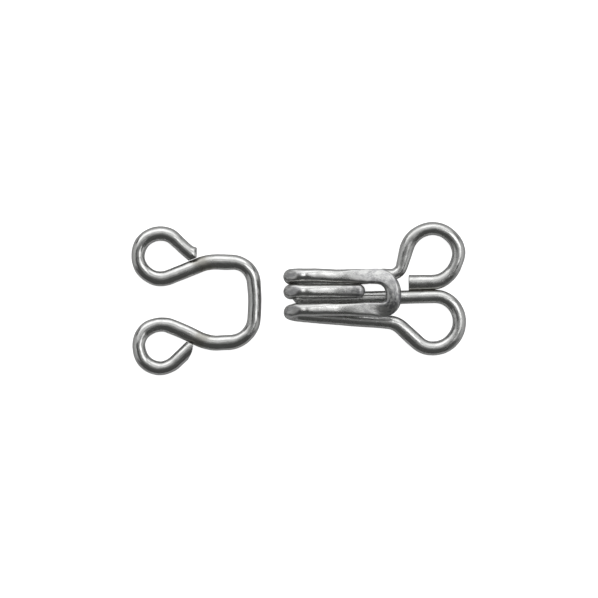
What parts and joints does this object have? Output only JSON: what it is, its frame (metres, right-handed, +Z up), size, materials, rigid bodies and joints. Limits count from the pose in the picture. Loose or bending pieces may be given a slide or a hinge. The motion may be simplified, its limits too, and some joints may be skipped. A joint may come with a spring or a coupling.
{
  "type": "hook and eye clasp",
  "caption": "Bent-wire hook with a folded-over bill and sewing loops, beside its wire eye with a squared bow and sewing loops, for closing an edge of a garment.",
  "frame": {"origin": "on the surface that the clasp lies on, under the middle of the box round both pieces", "axes": "+X from the eye to the hook's sewing loops, +Y across the clasp towards the hook's cut end, +Z up from the surface"},
  "size_m": [0.0246, 0.0112, 0.0032],
  "materials": {
    "plated_wire": "bright nickel-plated wire, a little dulled and scratched, with drawing lines along it"
  },
  "bodies": {
    "root": {"hook": "plated_wire", "eye": "plated_wire"}
  },
  "joints": []
}
